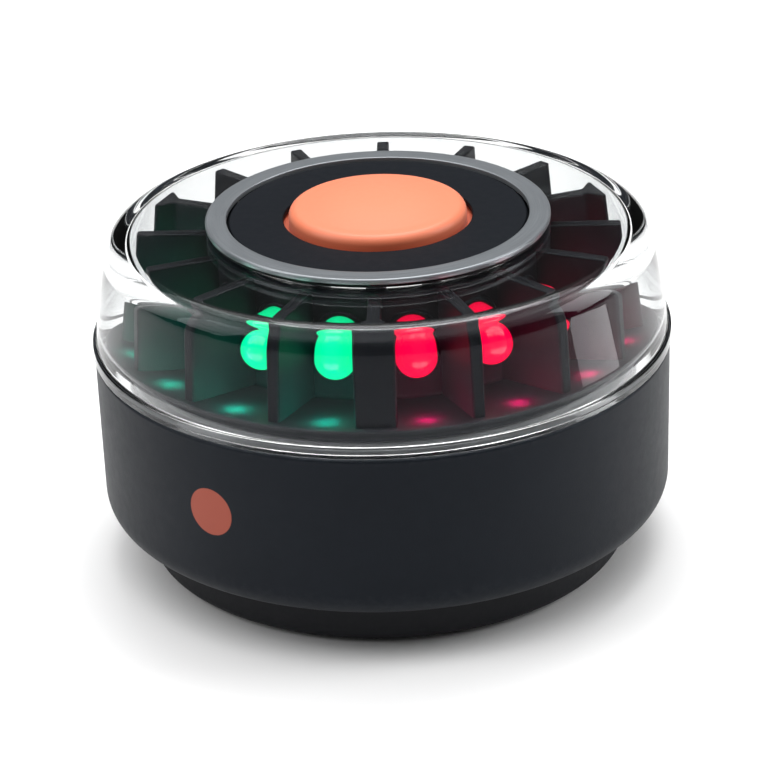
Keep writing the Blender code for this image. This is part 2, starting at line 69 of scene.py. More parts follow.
# Shader maths
class Wire:
    # A shader socket that Python's operators work on; each operation adds one Math node.
    def __init__(self, shade, socket):
        self.shade = shade
        self.socket = socket

    def __add__(self, other):
        return self.shade.math("ADD", self, other)

    def __radd__(self, other):
        return self.shade.math("ADD", other, self)

    def __sub__(self, other):
        return self.shade.math("SUBTRACT", self, other)

    def __rsub__(self, other):
        return self.shade.math("SUBTRACT", other, self)

    def __mul__(self, other):
        return self.shade.math("MULTIPLY", self, other)

    def __truediv__(self, other):
        return self.shade.math("DIVIDE", self, other)


class Nodes:
    # A node tree, and short ways to add to it.
    def __init__(self, tree):
        self.tree = tree
        self.coordinate = None

    def set(self, node, sockets):
        for key, value in sockets.items():
            if isinstance(value, Wire):
                self.tree.links.new(value.socket, node.inputs[key])
            elif isinstance(value, bpy.types.NodeSocket):
                self.tree.links.new(value, node.inputs[key])
            else:
                node.inputs[key].default_value = value

    def node(self, kind, settings=None, sockets=None):
        made = self.tree.nodes.new(kind)
        for key, value in (settings or {}).items():
            setattr(made, key, value)
        self.set(made, sockets or {})
        return made

    def math(self, operation, *values):
        made = self.node("ShaderNodeMath", {"operation": operation}, dict(enumerate(values)))
        return Wire(self, made.outputs[0])

    def place(self):
        # Object coordinates, in metres.
        if self.coordinate is None:
            self.coordinate = self.node("ShaderNodeTexCoord").outputs["Object"]
        return self.coordinate

    def axes(self):
        made = self.node("ShaderNodeSeparateXYZ", sockets={0: self.place()})
        return [Wire(self, made.outputs[i]) for i in range(3)]

    def polar(self):
        # Distance from the light's axis, angle round it and height.
        x, y, z = self.axes()
        radius = self.math("SQRT", x * x + y * y)
        return radius, self.math("ARCTAN2", y, x), z

    def vector(self, x, y, z):
        return self.node("ShaderNodeCombineXYZ", sockets={0: x, 1: y, 2: z}).outputs[0]

    def noise(self, scale, detail=3.0, roughness=0.5, vector=None, distortion=0.0):
        sockets = {"Vector": vector or self.place(), "Scale": scale, "Detail": detail,
                   "Roughness": roughness, "Distortion": distortion}
        return Wire(self, self.node("ShaderNodeTexNoise", sockets=sockets).outputs["Fac"])

    def cells(self, scale):
        made = self.node("ShaderNodeTexVoronoi", sockets={"Vector": self.place(), "Scale": scale})
        return Wire(self, made.outputs["Distance"])

    def remap(self, value, low, high, toLow=0.0, toHigh=1.0, smooth=False):
        kind = "SMOOTHSTEP" if smooth else "LINEAR"
        made = self.node("ShaderNodeMapRange", {"interpolation_type": kind}, {
            "Value": value, "From Min": low, "From Max": high, "To Min": toLow, "To Max": toHigh})
        return Wire(self, made.outputs["Result"])

    def mix(self, factor, first, second):
        # Colours are 3 or 4 numbers, or the output of another mix.
        def whole(color):
            return (*color, 1) if isinstance(color, tuple) and len(color) == 3 else color
        made = self.node("ShaderNodeMix", {"data_type": "RGBA"},
                         {"Factor": factor, 6: whole(first), 7: whole(second)})  # inputs 6 and 7 are colours
        return made.outputs[2]

    def bump(self, height, distance, strength):
        sockets = {"Height": height, "Distance": distance, "Strength": strength}
        return self.node("ShaderNodeBump", sockets=sockets).outputs[0]


class Shade(Nodes):
    # One material: a Principled shader and what feeds it.
    def __init__(self, name, color, roughness=0.5, metallic=0.0, **sockets):
        self.material = bpy.data.materials.new(name)
        self.material.use_nodes = True
        self.material.diffuse_color = (*color, 1)
        super().__init__(self.material.node_tree)
        self.principled = self.tree.nodes["Principled BSDF"]
        self.output = self.tree.nodes["Material Output"]
        self.surface(Base_Color=(*color, 1), Roughness=roughness, Metallic=metallic, **sockets)

    def surface(self, **sockets):
        self.set(self.principled, {key.replace("_", " "): value for key, value in sockets.items()})
        return self

    def lampsPass(self):
        # Clear plastic lets the lamps' light through without a hard shadow.
        shadow = self.node("ShaderNodeLightPath").outputs["Is Shadow Ray"]
        through = self.node("ShaderNodeBsdfTransparent").outputs[0]
        both = self.node("ShaderNodeMixShader", sockets={0: shadow, 1: self.principled.outputs[0], 2: through})
        self.tree.links.new(both.outputs[0], self.output.inputs["Surface"])
        return self


# Surfaces
def meshObject(name, points, faces, shade, smooth=True):
    # points is (n, 3) in metres; faces is a list of (m, 3) or (m, 4) index arrays.
    volume = 0.0
    for block in faces:
        for last in range(2, block.shape[1]):
            a, b, c = points[block[:, 0]], points[block[:, last - 1]], points[block[:, last]]
            volume += np.einsum("ij,ij->i", a, np.cross(b, c)).sum()
    if volume < 0:  # the signed volume of a closed surface tells which way it faces
        faces = [block[:, ::-1] for block in faces]
    loops = np.concatenate([block.ravel() for block in faces]).astype(np.int32)
    totals = np.repeat([block.shape[1] for block in faces], [len(block) for block in faces]).astype(np.int32)
    starts = np.concatenate([[0], np.cumsum(totals)[:-1]]).astype(np.int32)
    mesh = bpy.data.meshes.new(name)
    mesh.vertices.add(len(points))
    mesh.vertices.foreach_set("co", np.ascontiguousarray(points, np.float32).ravel())
    mesh.loops.add(len(loops))
    mesh.loops.foreach_set("vertex_index", loops)
    mesh.polygons.add(len(totals))
    mesh.polygons.foreach_set("loop_start", starts)
    mesh.polygons.foreach_set("loop_total", totals)
    mesh.polygons.foreach_set("use_smooth", np.full(len(totals), smooth))
    mesh.update(calc_edges=True)
    mesh.validate()
    piece = bpy.data.objects.new(name, mesh)
    bpy.context.scene.collection.objects.link(piece)
    mesh.materials.append(shade.material)
    return piece


def meshPiece(name, points, faces, shade, body, replaces=()):
    piece = meshObject(name, points, faces, shade)
    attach(piece, body)
    if replaces:
        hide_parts(*replaces)
    return piece


def gridFaces(rows, columns, wrapRows, wrapColumns):
    # Quads of a rows x columns grid of points, closed round either way.
    i = np.arange(rows if wrapRows else rows - 1)
    j = np.arange(columns if wrapColumns else columns - 1)
    i, j = np.meshgrid(i, j, indexing="ij")
    below, right = (i + 1) % rows, (j + 1) % columns
    quads = np.stack([i * columns + j, below * columns + j, below * columns + right, i * columns + right], -1)
    return quads.reshape(-1, 4)


def arcRow(centreZ, radius, start, end, count):
    # Profile points on a circle about the axis, angles in degrees from +X.
    t = np.radians(np.linspace(start, end, count))
    return [(r, z, 0) for r, z in zip(radius * np.cos(t), centreZ + radius * np.sin(t))]


def softened(corners, closed, arcSteps=6, edge=0.12, longest=1.2):
    # A polyline in millimetres with each corner (r, z, radius) turned into an arc that touches both sides,
    # a point just before and after each arc, and long straight runs divided evenly.
    corners = np.array([(*c, 0) if len(c) == 2 else c for c in corners], float)
    count = len(corners)
    path = []
    for k in range(count):
        here, radius = corners[k, :2], corners[k, 2]
        if radius <= 0 or (not closed and k in (0, count - 1)):
            path.append(here)
            continue
        back = corners[k - 1, :2] - here
        ahead = corners[(k + 1) % count, :2] - here
        backLength, aheadLength = np.hypot(*back), np.hypot(*ahead)
        back, ahead = back / backLength, ahead / aheadLength
        half = math.acos(np.clip(back @ ahead, -1, 1)) / 2
        reach = min(radius / math.tan(half), 0.48 * backLength, 0.48 * aheadLength)
        radius = reach * math.tan(half)
        middle = here + (back + ahead) / np.linalg.norm(back + ahead) * radius / math.sin(half)
        first, last = here + back * reach - middle, here + ahead * reach - middle
        turn = math.atan2(first[0] * last[1] - first[1] * last[0], first @ last)
        start = math.atan2(first[1], first[0])
        steps = max(3, round(arcSteps * abs(turn) / (math.pi / 2) * (1 + 0.35 * radius)))
        angle = start + turn * np.linspace(0, 1, steps + 1)
        path.extend(middle + radius * np.stack([np.cos(angle), np.sin(angle)], -1))
    path = np.array(path)
    ends = np.roll(path, -1, 0) if closed else path[1:]
    starts = path if closed else path[:-1]
    dense = []
    for a, b in zip(starts, ends):
        length = np.hypot(*(b - a))
        dense.append(a[None])
        if length > 3 * edge:
            inner = max(1, math.ceil((length - 2 * edge) / longest))
            between = edge + (length - 2 * edge) * np.arange(1, inner) / inner
            share = np.concatenate([[edge], between, [length - edge]])
            dense.append(a + (b - a) * (share / length)[:, None])
    if not closed:
        dense.append(path[-1:])
    return np.concatenate(dense)


def capFaces(rows, columns):
    # Fans that close a grid's first and last rows onto two poles, which are the next two points after it.
    ring = np.arange(columns)
    after = (ring + 1) % columns
    last = (rows - 1) * columns
    first = np.full(columns, rows * columns)
    return [np.stack([first, ring, after], -1), np.stack([last + ring, first + 1, last + after], -1)]


def turnedArrays(corners, closed, steps=around, **spacing):
    # P(u, v) = (r(u) cos v, r(u) sin v, z(u)). A ring's profile closes on itself; a solid one runs from
    # pole to pole.
    path = softened(corners, closed, **spacing)
    v = np.arange(steps) * 2 * math.pi / steps
    r, z = (path if closed else path[1:-1]).T[:, :, None]
    points = np.stack([r * np.cos(v), r * np.sin(v), z + 0 * v], -1).reshape(-1, 3) * mm
    rows = len(z)
    faces = [gridFaces(rows, steps, closed, True)]
    if not closed:
        poles = np.array([[0, 0, path[0, 1]], [0, 0, path[-1, 1]]]) * mm
        faces += capFaces(rows, steps)
        points = np.concatenate([points, poles])
    return points, faces


def turned(name, corners, shade, body, replaces=(), closed=True, steps=around, **spacing):
    points, faces = turnedArrays(corners, closed, steps, **spacing)
    return meshPiece(name, points, faces, shade, body, replaces)


def placed(points, matrix):
    matrix = np.array(matrix)
    return points @ matrix[:3, :3].T + matrix[:3, 3]


def joined(parts):
    # Several closed surfaces as one list of points and faces.
    points, faces, start = [], [], 0
    for part, blocks in parts:
        points.append(part)
        faces.extend(block + start for block in blocks)
        start += len(part)
    return np.concatenate(points), faces


def slabArrays(corners, bottom, top, bevel, centre=(0, 0), steps=4, edge=0.1):
    # A flat outline of (x, y, radius) corners in mm stood up between two heights. Near both ends it leans in
    # round a quarter circle: inset = bevel (1 - sin t), drop = bevel (1 - cos t). A fan closes each end.
    outline = softened(corners, True, edge=edge, longest=2.0)
    ahead = np.roll(outline, -1, 0) - outline
    if (outline[:, 0] * ahead[:, 1] - outline[:, 1] * ahead[:, 0]).sum() < 0:
        outline = outline[::-1]
        ahead = np.roll(outline, -1, 0) - outline
    ahead /= np.linalg.norm(ahead, axis=1)[:, None]
    back = np.roll(ahead, 1, 0)
    left = np.stack([-ahead[:, 1], ahead[:, 0]], -1) + np.stack([-back[:, 1], back[:, 0]], -1)
    inward = left / (1 + np.einsum("ij,ij->i", ahead, back))[:, None]
    t = np.linspace(0, math.pi / 2, steps + 1)
    inset = np.concatenate([[bevel + edge], bevel * (1 - np.sin(t)), [0]])
    drop = np.concatenate([[0], bevel * (1 - np.cos(t)), [bevel + edge]])
    insets = np.concatenate([inset, inset[::-1]])[:, None, None]
    heights = np.concatenate([top - drop, (bottom + drop)[::-1]])[:, None, None]
    rings = outline[None] + inward[None] * insets
    points = np.concatenate([rings, heights + 0 * rings[..., :1]], -1).reshape(-1, 3)
    rows, columns = len(insets), len(outline)
    faces = [gridFaces(rows, columns, False, True), *capFaces(rows, columns)]
    poles = np.array([[*centre, top], [*centre, bottom]])
    return np.concatenate([points, poles]) * mm, faces


def ringSection(inner, outer, top, bottom, radii):
    # radii go round the corners from the inner top one outwards.
    corners = ((inner, top), (outer, top), (outer, bottom), (inner, bottom))
    return [(r, z, radius) for (r, z), radius in zip(corners, radii)]


def boxCorners(halfX, halfY, radius):
    return [(-halfX, -halfY, radius), (halfX, -halfY, radius), (halfX, halfY, radius), (-halfX, halfY, radius)]


def tubeArrays(path, radius, sides=12):
    # A round section carried along a smooth path: P = C(t) + radius (N cos a + B sin a), where N stays
    # across the path by projecting one reference direction, and each end closes on a pole.
    path = np.asarray(path, float)
    tangent = np.gradient(path, axis=0)
    tangent /= np.linalg.norm(tangent, axis=1)[:, None]
    reference = np.array([0.267, 0.535, 0.802])  # lies along none of the paths
    normal = reference - tangent * (tangent @ reference)[:, None]
    normal /= np.linalg.norm(normal, axis=1)[:, None]
    side = np.cross(tangent, normal)
    a = np.arange(sides) * 2 * math.pi / sides
    ring = normal[:, None] * np.cos(a)[None, :, None] + side[:, None] * np.sin(a)[None, :, None]
    points = (path[:, None] + radius * ring).reshape(-1, 3)
    faces = [gridFaces(len(path), sides, False, True), *capFaces(len(path), sides)]
    return np.concatenate([points, path[:1], path[-1:]]), faces


def cutOut(piece, cutters):
    # Takes closed cutters out of a piece, and keeps the result as its mesh.
    tools = []
    for points, faces in cutters:
        tool = meshObject(piece.name + "_cutter", points, faces, toolShade)
        tools.append(tool)
        cut = piece.modifiers.new("Cut", "BOOLEAN")
        cut.operation = "DIFFERENCE"
        cut.solver = "EXACT"
        cut.object = tool
    bpy.context.view_layer.update()
    graph = bpy.context.evaluated_depsgraph_get()
    carved = bpy.data.meshes.new_from_object(piece.evaluated_get(graph))
    piece.modifiers.clear()
    piece.data = carved
    for tool in tools:
        bpy.data.objects.remove(tool)
    piece.modifiers.new("Normals", "WEIGHTED_NORMAL").keep_sharp = True


def fromBow(radius, angle, z):
    # A place at an angle from the bow, turning towards port.
    return Vector((radius * math.sin(angle), -radius * math.cos(angle), z))


toolShade = Shade("cutterShade", (0.5, 0.5, 0.5))


# Finishes
def grain(shade, size, depth, strength=0.6):
    # Spark-eroded mould skin: rounded pits of one size with a softer unevenness under them. Sizes in mm.
    scale = 1 / (size * mm)
    height = shade.cells(scale) * 0.7 + shade.noise(scale * 0.35, 4, 0.6) * 0.6
    return shade.bump(height, depth * mm, strength)


def rimWear(shade, low, high, soft):
    # A mask that rises near one height, in mm, where hands and decks rub.
    z = shade.axes()[2]
    near = shade.math("ABSOLUTE", z - (low + high) / 2 * mm)
    band = shade.remap(near, (high - low) / 2 * mm, ((high - low) / 2 + soft) * mm, 1, 0, True)
    return band * shade.remap(shade.noise(900, 5, 0.7), 0.45, 0.7)


def softTouchShade():
    look = {
        "color": (0.0052, 0.0064, 0.0092), "worn": (0.016, 0.0175, 0.021),
        "roughness": 0.5, "grainSize": 0.22, "grainDepth": 0.012,
        "dotColor": (0.33, 0.078, 0.05), "dotAngle": math.radians(-124), "dotHeight": 19.1, "dotRadius": 3.15,
    }
    shade = Shade("softTouchBlack", look["color"], look["roughness"], Specular_IOR_Level=0.13,
                  Specular_Tint=(0.8, 0.9, 1, 1), Sheen_Weight=0.03, Sheen_Roughness=0.45)
    radius, angle, z = shade.polar()
    wear = rimWear(shade, 8.2, 9.6, 1.6) * 0.5 + rimWear(shade, 28.2, 28.7, 0.4) * 0.35
    cloud = shade.noise(120, 4, 0.6)
    lighter = tuple(c * 1.18 for c in look["color"])
    color = shade.mix(shade.remap(cloud, 0.3, 0.7), look["color"], lighter)
    color = shade.mix(wear, color, look["worn"])
    # A plain printed index dot on the starboard bow: distance across the curved wall from its centre.
    across = (angle - look["dotAngle"]) * radius
    up = z - look["dotHeight"] * mm
    away = shade.math("SQRT", across * across + up * up) + (shade.noise(5200, 2) - 0.5) * 0.00006
    dot = shade.remap(away, (look["dotRadius"] - 0.05) * mm, (look["dotRadius"] + 0.05) * mm, 1, 0)
    color = shade.mix(dot, color, look["dotColor"])
    rough = look["roughness"] + (shade.noise(700, 5, 0.65) - 0.5) * 0.16 - dot * 0.08
    skin = grain(shade, look["grainSize"], look["grainDepth"])
    return shade.surface(Base_Color=color, Roughness=rough, Normal=skin)


def footRubberShade(name="footRubber", color=(0.009, 0.0096, 0.012), roughness=0.6):
    shade = Shade(name, color, roughness, Specular_IOR_Level=0.2)
    dust = shade.remap(shade.noise(420, 6, 0.7), 0.52, 0.78)
    z = shade.axes()[2]
    low = shade.remap(z, 0.4 * mm, 3.5 * mm, 0.55, 0.1, True)
    tone = shade.mix(dust * low, color, (0.03, 0.03, 0.032))
    rough = roughness + (shade.noise(1500, 4) - 0.5) * 0.2
    return shade.surface(Base_Color=tone, Roughness=rough, Normal=grain(shade, 0.3, 0.014))


def crownShade():
    look = {"color": (0.004, 0.0045, 0.006), "roughness": 0.4}
    shade = Shade("crownPlastic", look["color"], look["roughness"], Specular_IOR_Level=0.1,
                  Specular_Tint=(0.85, 0.92, 1, 1))
    flow = shade.noise(260, 5, 0.62, distortion=0.4)  # faint flow marks of the moulding
    color = shade.mix(shade.remap(flow, 0.35, 0.7), look["color"], (0.006, 0.0066, 0.0085))
    rough = look["roughness"] + (flow - 0.5) * 0.12 + (shade.noise(2600, 3) - 0.5) * 0.06
    return shade.surface(Base_Color=color, Roughness=rough, Normal=grain(shade, 0.18, 0.005, 0.12))


def discShade():
    look = {"color": (0.0034, 0.0044, 0.0068), "roughness": 0.6}
    shade = Shade("discRubber", look["color"], look["roughness"], Specular_IOR_Level=0.1,
                  Specular_Tint=(0.8, 0.9, 1, 1))
    speck = shade.remap(shade.noise(3200, 2, 0.8), 0.66, 0.8)
    color = shade.mix(speck * 0.35, look["color"], (0.03, 0.031, 0.034))
    rough = look["roughness"] + (shade.noise(800, 5) - 0.5) * 0.18
    return shade.surface(Base_Color=color, Roughness=rough, Normal=grain(shade, 0.16, 0.012, 0.8))


def satinRingShade():
    # Silver paint over a turned ring: circular drag lines, short in r and long round the axis.
    look = {"color": (0.27, 0.29, 0.31), "dark": (0.18, 0.195, 0.21), "roughness": 0.32}
    shade = Shade("satinSilver", look["color"], look["roughness"], 0.55, Coat_Roughness=0.2)
    radius, angle, z = shade.polar()
    lines = shade.noise(1.0, 3, 0.6, shade.vector(radius * 9000, angle * 3, z * 9000))
    flake = shade.noise(14000, 2, 0.7)
    color = shade.mix(shade.remap(lines * 0.5 + flake * 0.5, 0.35, 0.65), look["dark"], look["color"])
    rough = look["roughness"] + (lines - 0.5) * 0.18
    return shade.surface(Base_Color=color, Roughness=rough, Normal=shade.bump(lines, 0.004 * mm, 0.5),
                         Coat_Weight=shade.remap(flake, 0.3, 0.8, 0.1, 0.35))


def buttonShade():
    # Matte orange silicone, a little smoother in the middle. Painted highlight: the middle of the top is paler;
    # painted shade: the lower wall is deeper.
    look = {"color": (0.78, 0.20, 0.095), "pale": (0.80, 0.24, 0.125), "deep": (0.62, 0.105, 0.045),
            "roughness": 0.46}
    shade = Shade("orangeSilicone", look["color"], look["roughness"], Specular_IOR_Level=0.45,
                  Sheen_Weight=0.12, Sheen_Roughness=0.5)
    radius, _, z = shade.polar()
    # Painted highlight: the paler colour is mixed in over the middle of the top.
    middle = shade.remap(radius, 3 * mm, 11 * mm, 1, 0, True)
    color = shade.mix(middle * 0.7, look["color"], look["pale"])
    # Painted shade: the deeper colour is mixed in down the lower wall; the same colour also gives the specks.
    wall = shade.remap(z, 44.6 * mm, 46.6 * mm, 1, 0, True)
    color = shade.mix(wall * 0.75, color, look["deep"])
    speck = shade.remap(shade.noise(2600, 3, 0.75), 0.62, 0.75)
    color = shade.mix(speck * 0.18, color, look["deep"])
    rough = look["roughness"] + (shade.noise(900, 5, 0.6) - 0.5) * 0.14 - middle * 0.05
    return shade.surface(Base_Color=color, Roughness=rough, Normal=grain(shade, 0.2, 0.008, 0.5))


def lensShade():
    # Clear polycarbonate: polished, with faint hairlines on the outside, and painted shade where it is seen nearly
    # edge-on.
    look = {"color": (0.975, 0.985, 0.985), "edge": (0.52, 0.55, 0.57), "roughness": 0.012}
    shade = Shade("clearPolycarbonate", look["color"], look["roughness"], Transmission_Weight=1.0, IOR=1.5,
                  Specular_Tint=(0.25, 0.26, 0.28, 1))
    radius, angle, z = shade.polar()
    hair = shade.noise(1.0, 4, 0.75, shade.vector(angle * 14, z * 2600, radius * 800))
    scratch = shade.remap(hair, 0.62, 0.72)
    normal = shade.bump(shade.noise(90, 2, 0.4), 0.012 * mm, 0.25)
    edge = Wire(shade, shade.node("ShaderNodeLayerWeight", sockets={"Blend": 0.5}).outputs["Facing"])
    edge = edge * edge * edge  # painted shade: only the glass that is seen nearly edge-on darkens, standing for the dark edges of thick glass
    shade.surface(Base_Color=shade.mix(edge, look["color"], look["edge"]),
                  Roughness=look["roughness"] + scratch * 0.03, Normal=normal)
    return shade.lampsPass()


def ledShade(name, deep, glow, strength):
    # Tinted epoxy that is lit from its chip: brightest along the core and at the tip, deeper at the flange.
    shade = Shade(name, deep, 0.12, Specular_IOR_Level=0.6, Coat_Weight=0.6, Coat_Roughness=0.05)
    radius, _, z = shade.polar()
    along = shade.remap(radius, 20.5 * mm, 27 * mm, 0, 1, True)
    up = shade.math("ABSOLUTE", (z - ledPlan["height"] * mm) / (ledPlan["radius"] * mm))
    level = 0.62 + along * 0.38 + (shade.noise(620, 3, 0.55) - 0.5) * 0.35 + up * 0.12
    dim = tuple(c * 0.55 for c in glow)
    color = shade.mix(shade.remap(level, 0.45, 1.15), dim, glow)
    frost = 0.12 + (shade.noise(1800, 3) - 0.5) * 0.1
    return shade.surface(Emission_Color=color, Emission_Strength=strength, Roughness=frost,
                         Normal=shade.bump(shade.noise(400, 2), 0.02 * mm, 0.3))


def paleLedShade():
    shade = Shade("ledWhiteEpoxy", (0.86, 0.87, 0.88), 0.1, Specular_IOR_Level=0.6, Coat_Weight=0.8)
    radius = shade.polar()[0]
    chip = shade.remap(radius, 19 * mm, 25.5 * mm, 1, 0, True)
    phosphor = shade.mix(chip * 0.65, (0.90, 0.91, 0.92), (0.86, 0.80, 0.42))
    haze = shade.noise(500, 4, 0.6)
    return shade.surface(Base_Color=shade.mix(haze * 0.2, phosphor, (0.74, 0.77, 0.80)),
                         Roughness=0.08 + haze * 0.1, Normal=shade.bump(haze, 0.02 * mm, 0.25))


def metalShade(name, color, dark, roughness, size):
    # Plated or drawn metal: fine directionless scuffs and slightly duller patches.
    shade = Shade(name, color, roughness, 1.0)
    scuff = shade.noise(1 / (size * mm), 6, 0.7, distortion=0.6)
    patch = shade.noise(90, 3, 0.5)
    tone = shade.mix(shade.remap(patch * 0.6 + scuff * 0.4, 0.4, 0.62), dark, color)
    return shade.surface(Base_Color=tone, Roughness=roughness + (scuff - 0.5) * 0.25 + (patch - 0.5) * 0.1,
                         Normal=shade.bump(scuff, 0.006 * mm, 0.4))


def drawnSteelShade():
    # The keeper ring is turned, so its lines run round the axis.
    shade = Shade("turnedSteel", (0.55, 0.56, 0.57), 0.3, 1.0)
    radius, angle, z = shade.polar()
    lines = shade.noise(1.0, 4, 0.65, shade.vector(radius * 7000, angle * 2.5, z * 2000))
    rust = shade.remap(shade.noise(380, 6, 0.75), 0.62, 0.8)
    tone = shade.mix(shade.remap(lines, 0.35, 0.65), (0.42, 0.43, 0.44), (0.60, 0.61, 0.62))
    tone = shade.mix(rust * 0.12, tone, (0.24, 0.16, 0.10))
    return shade.surface(Base_Color=tone, Roughness=0.28 + (lines - 0.5) * 0.3 + rust * 0.2,
                         Normal=shade.bump(lines, 0.005 * mm, 0.5))


def plasticShade(name, color, roughness, size):
    # Plain moulded plastic with a fine skin and a little tonal drift.
    shade = Shade(name, color, roughness, Specular_IOR_Level=0.45)
    drift = shade.noise(150, 4, 0.6)
    fleck = shade.noise(1 / (size * mm), 3, 0.6)
    dark, light = tuple(c * 0.86 for c in color), tuple(min(1, c * 1.1) for c in color)
    tone = shade.mix(shade.remap(drift, 0.35, 0.65), dark, light)
    rough = roughness + (fleck - 0.5) * 0.2
    return shade.surface(Base_Color=tone, Roughness=rough, Normal=grain(shade, size, 0.008, 0.5))


def boardShade():
    # Solder mask over copper tracks: a bent grid of lines shows as lighter, raised paths.
    shade = Shade("boardMask", (0.012, 0.10, 0.045), 0.35, Specular_IOR_Level=0.5, Coat_Roughness=0.1)
    x, y, _ = shade.axes()
    bend = shade.noise(110, 1, 0.4)
    gridX = shade.math("PINGPONG", x + bend * 0.004, 1.1 * mm)
    gridY = shade.math("PINGPONG", y - bend * 0.005, 1.3 * mm)
    lineX = shade.remap(gridX, 0.14 * mm, 0.2 * mm, 1, 0)
    lineY = shade.remap(gridY, 0.12 * mm, 0.18 * mm, 1, 0)
    track = shade.math("MAXIMUM", lineX, lineY)
    track = track * shade.remap(shade.noise(240, 2), 0.47, 0.5)
    tone = shade.mix(track, (0.010, 0.085, 0.038), (0.045, 0.24, 0.11))
    return shade.surface(Base_Color=tone, Roughness=0.4 - track * 0.1, Coat_Weight=0.2 + track * 0.3,
                         Normal=shade.bump(track, 0.03 * mm, 0.6))


def cellShade():
    # A printed sleeve with plain bands and no lettering; the crimped ends stay bare.
    look = {"sleeve": (0.06, 0.10, 0.22), "band": (0.62, 0.42, 0.12), "bare": (0.62, 0.60, 0.57)}
    shade = Shade("cellSleeve", look["sleeve"], 0.3, 0.35, Coat_Roughness=0.12)
    x = shade.axes()[0]
    reach = shade.math("ABSOLUTE", x)
    bare = shade.remap(reach, 20.9 * mm, 21.0 * mm)
    band = shade.remap(x, 9.0 * mm, 9.1 * mm) * shade.remap(x, 13.5 * mm, 13.6 * mm, 1, 0)
    scuff = shade.remap(shade.noise(600, 5, 0.7), 0.6, 0.75)
    tone = shade.mix(band, look["sleeve"], look["band"])
    tone = shade.mix(shade.math("MAXIMUM", bare, scuff * 0.3), tone, look["bare"])
    rough = 0.3 + (shade.noise(900, 4) - 0.5) * 0.15
    return shade.surface(Base_Color=tone, Metallic=0.25 + bare * 0.7, Roughness=rough,
                         Coat_Weight=0.5 - bare * 0.5)


ledPlan = {"height": 37.3, "radius": 2.5, "flange": 2.9, "tip": 27.3, "back": 18.4}  # mm
softTouch = softTouchShade()
footRubber = footRubberShade()
capPlastic = plasticShade("capPlastic", (0.0135, 0.0142, 0.017), 0.5, 0.25)
crownPlastic = crownShade()
discRubber = discShade()
sealRubber = footRubberShade("sealRubber", (0.010, 0.0105, 0.012), 0.5)
paleSeal = plasticShade("paleSeal", (0.16, 0.165, 0.17), 0.5, 0.3)
satinSilver = satinRingShade()
orangeSilicone = buttonShade()
clearLens = lensShade()
greenEpoxy = ledShade("ledGreenEpoxy", (0.0, 0.06, 0.03), (0.0, 1.0, 0.36), 1.25)
redEpoxy = ledShade("ledRedEpoxy", (0.09, 0.0, 0.006), (1.0, 0.0, 0.05), 1.4)
whiteEpoxy = paleLedShade()
nickel = metalShade("nickelPlate", (0.66, 0.63, 0.58), (0.50, 0.48, 0.44), 0.2, 0.4)
zincSteel = metalShade("zincSteel", (0.56, 0.57, 0.58), (0.42, 0.43, 0.45), 0.34, 0.3)
turnedSteel = drawnSteelShade()
boardMask = boardShade()
greyNylon = plasticShade("greyNylon", (0.105, 0.11, 0.118), 0.5, 0.28)
switchPlastic = plasticShade("switchPlastic", (0.05, 0.051, 0.054), 0.42, 0.2)
cellSleeve = cellShade()
redJacket = plasticShade("redJacket", (0.42, 0.022, 0.02), 0.42, 0.25)
blackJacket = plasticShade("blackJacket", (0.016, 0.016, 0.018), 0.42, 0.25)
print("finishes made")


# Lens
lensPlan = {
    "top": cadHigh.z / mm - 3.1, "bottom": 29.0, "hole": 20.8, "rim": 37.5, "low": 37.05, "upper": 34.98,
    "wall": 1.6, "shoulder": 3.5, "lip": 1.5, "prismLow": 32.0, "prismTop": 32.1,
}


def makeLens():
    p = lensPlan
    top, bottom, wall = p["top"], p["bottom"], p["wall"]
    lip = bottom + p["lip"]
    outer = [(p["hole"], top, 0.1), (p["upper"], top, p["shoulder"]), (p["low"], lip + 0.05, 0.25)]
    flange = [(p["rim"], lip, 0.3), (p["rim"], bottom, 0.15)]
    inner = [(p["low"] - wall, bottom, 0.15), (p["low"] - wall, p["prismLow"], 2.5),
             (p["prismTop"], top - wall, 0.7), (p["hole"], top - wall, 0.1)]
    turned("lensShell", [*outer, *flange, *inner], clearLens, "housing", ["lens"], steps=fine, arcSteps=8)


def makeSeat():
    # The pale seat behind the crown's floor: two steps and a shallow gutter.
    p = {"inner": 33.3, "outer": 34.9, "bottom": 28.2, "top": 29.4, "lip": 0.55, "gutter": 0.4}
    floor = p["top"] - p["gutter"]
    profile = [
        (p["inner"], p["top"], 0.15), (p["inner"] + p["lip"], p["top"], 0.1),
        (p["inner"] + p["lip"] + 0.1, floor, 0.1), (p["outer"] - 0.3, floor, 0.1),
        (p["outer"] - 0.2, p["top"] - 0.1, 0.08), (p["outer"], p["top"] - 0.1, 0.08),
        (p["outer"], p["bottom"], 0.15), (p["inner"], p["bottom"], 0.15),
    ]
    turned("lensSeat", profile, paleSeal, "housing", ["lens_seal"])


makeLens()
makeSeat()
print("lens made")


# Body, cap and foot
def makeBody():
    p = {"radius": 37.3, "low": 37.12, "top": 28.7, "bottom": 6.7, "round": 6.0, "mouth": 30.4, "neck": 29.0,
         "neckTop": 13.0, "cavity": 31.8, "cavityLow": 14.4, "cavityTop": 24.1, "ledge": 33.0, "ledgeTop": 27.9,
         "rebate": 35.2, "step": 10.6}
    profile = [
        (p["radius"], p["top"], 0.35), (p["radius"] - 0.02, p["top"] - 5, 0),
        (p["low"], p["bottom"], p["round"]), (p["mouth"], p["bottom"], 0.3), (p["mouth"], p["step"], 0.1),
        (p["neck"], p["step"], 0.25),
        (p["neck"], p["neckTop"], 0.3), (p["cavity"], p["cavityLow"], 0.5), (p["cavity"], p["cavityTop"], 0.1),
        (p["ledge"], p["cavityTop"], 0.1), (p["ledge"], p["ledgeTop"], 0.1), (p["rebate"], p["ledgeTop"], 0.1),
        (p["rebate"], p["top"], 0.15),
    ]
    turned("bodyShell", profile, softTouch, "housing", ["body_shell"], steps=fine, arcSteps=9)


